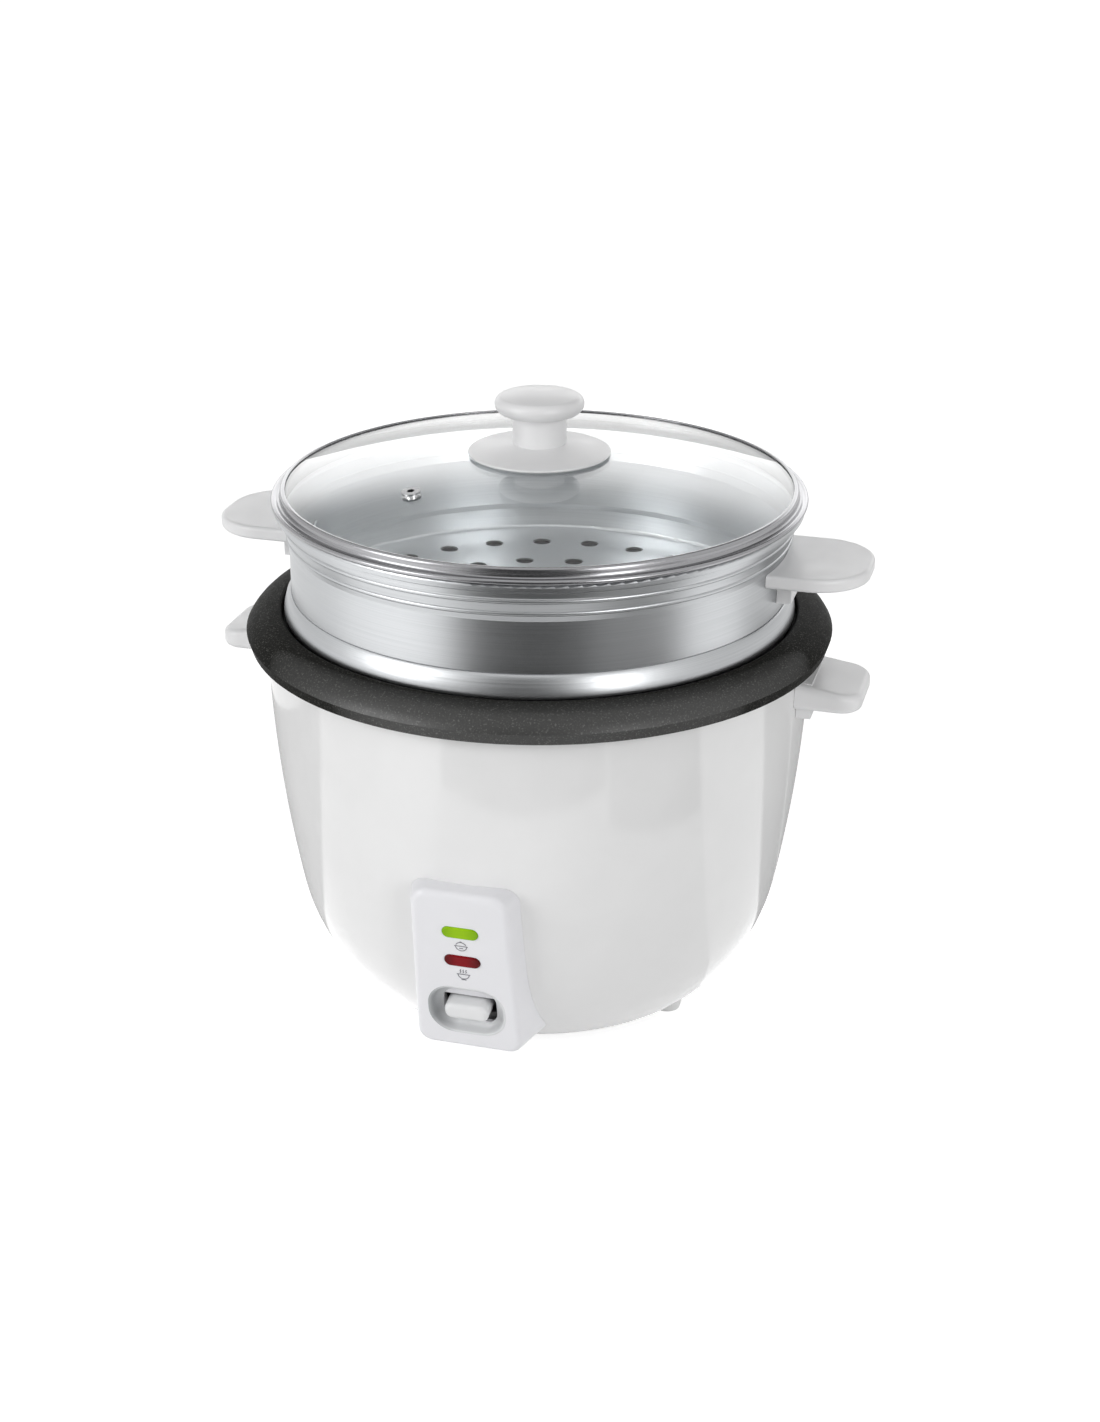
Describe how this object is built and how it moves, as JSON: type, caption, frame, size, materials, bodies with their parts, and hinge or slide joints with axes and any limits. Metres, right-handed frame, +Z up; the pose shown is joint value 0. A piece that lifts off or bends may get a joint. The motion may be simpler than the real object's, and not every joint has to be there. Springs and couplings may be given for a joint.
{
  "type": "rice cooker",
  "caption": "Electric rice cooker: white drum with a front switch panel, side handles, a lift-out dark pot, a pierced steamer basket and a domed glass lid with a knob.",
  "frame": {"origin": "on the surface that the feet stand on, below the middle of the drum", "axes": "+Z up, the control panel faces -Y, the handles are on +X and -X"},
  "size_m": [0.303, 0.2672, 0.2826],
  "materials": {
    "white_paint": "gloss enamel",
    "white_plastic": "gloss",
    "white_foot": "satin",
    "green_lens": "translucent gloss",
    "red_lens": "translucent gloss",
    "non_stick": "dark speckled non-stick coating",
    "satin_aluminium": "satin",
    "stainless": "polished",
    "clear_glass": "clear",
    "eyelet_steel": "polished",
    "zinc_steel": "zinc plated",
    "base_paint": "satin",
    "cast_aluminium": "turned",
    "spring_steel": "bright",
    "magnet_iron": "sintered",
    "brass_contact": "bright",
    "dark_plastic": "matt",
    "board": "resin board",
    "lamp_glass": "clear",
    "silicone": "matt",
    "ceramic": "ceramic",
    "wire_red": "insulated wire",
    "wire_blue": "insulated wire",
    "wire_white": "insulated wire",
    "wire_green": "insulated wire"
  },
  "bodies": {
    "base": {"outer_casing": "white_paint", "base_plate": "base_paint", "base_screws": "zinc_steel", "foot_front_left": "white_foot", "foot_front_right": "white_foot", "foot_rear_left": "white_foot", "foot_rear_right": "white_foot", "inner_liner": "satin_aluminium", "heating_plate": "cast_aluminium", "heating_element": "zinc_steel", "plate_posts": "zinc_steel", "plate_screws": "zinc_steel", "sensor_spring": "spring_steel", "thermostat_bracket": "zinc_steel", "bracket_screws": "zinc_steel", "lever_bracket": "zinc_steel", "lever_pin": "zinc_steel", "contact_block": "dark_plastic", "fixed_contact": "brass_contact", "control_panel": "white_plastic", "keep_warm_lens": "green_lens", "cook_lens": "red_lens", "lamp_board": "board", "keep_warm_lamp": "lamp_glass", "cook_lamp": "lamp_glass", "panel_screws": "zinc_steel", "body_handle_left": "white_plastic", "body_handle_right": "white_plastic", "body_handle_screws": "zinc_steel", "power_inlet": "white_plastic", "inlet_pins": "brass_contact", "thermal_fuse": "brass_contact", "keep_warm_resistor": "ceramic", "live_wire": "wire_red", "neutral_wire": "wire_blue", "element_wire": "wire_white", "earth_wire": "wire_green"},
    "sensor": {"sensor_cap": "cast_aluminium", "ferrite_disc": "magnet_iron", "plunger_spring": "spring_steel"},
    "plunger": {"magnet": "magnet_iron", "plunger_rod": "zinc_steel"},
    "switch": {"switch_lever": "zinc_steel", "switch_paddle": "white_plastic"},
    "contact": {"moving_contact": "brass_contact"},
    "pot": {"inner_pot": "non_stick"},
    "steamer": {"steamer_basket": "satin_aluminium", "steamer_handle_left": "white_plastic", "steamer_handle_right": "white_plastic", "steamer_rivets": "satin_aluminium"},
    "lid": {"lid_glass": "clear_glass", "lid_rim": "stainless", "vent_eyelet": "eyelet_steel", "knob_gasket": "silicone", "knob_skirt": "white_plastic", "lid_knob": "white_plastic", "knob_screw": "zinc_steel", "knob_washer": "zinc_steel"}
  },
  "joints": [
    {"name": "pot_lift", "type": "slide", "parent": "base", "child": "pot", "axis": [0, 0, 1], "range_m": [0, 0.16]},
    {"name": "steamer_lift", "type": "slide", "parent": "pot", "child": "steamer", "axis": [0, 0, 1], "range_m": [0, 0.1]},
    {"name": "lid_lift", "type": "slide", "parent": "steamer", "child": "lid", "axis": [0, 0, 1], "range_m": [0, 0.12]},
    {"name": "switch_press", "type": "hinge", "parent": "base", "child": "switch", "pos_m": [0, -0.04199, 0.03098], "axis": [1, 0, 0], "range_deg": [0, 3.3], "stiffness_Nm_per_rad": 2, "springref_deg": -4.58},
    {"name": "plunger_lift", "type": "slide", "parent": "base", "child": "plunger", "axis": [0, 0, 1], "range_m": [0, 0.0026], "deforming": ["plunger_spring"]},
    {"name": "sensor_press", "type": "slide", "parent": "base", "child": "sensor", "axis": [0, 0, 1], "range_m": [-0.0025, 0], "stiffness_N_per_m": 1200, "springref_m": 0.004, "deforming": ["sensor_spring", "plunger_spring"]},
    {"name": "contact_flex", "type": "hinge", "parent": "base", "child": "contact", "pos_m": [0.0205, -0.07699, 0.03333], "axis": [0, -1, 0], "range_deg": [0, 8.3]}
  ],
  "couplings": [
    {"joint": "plunger_lift", "follows": "switch_press", "m_per_rad": 0.04199},
    {"joint": "contact_flex", "follows": "switch_press", "ratio": 2.5}
  ]
}
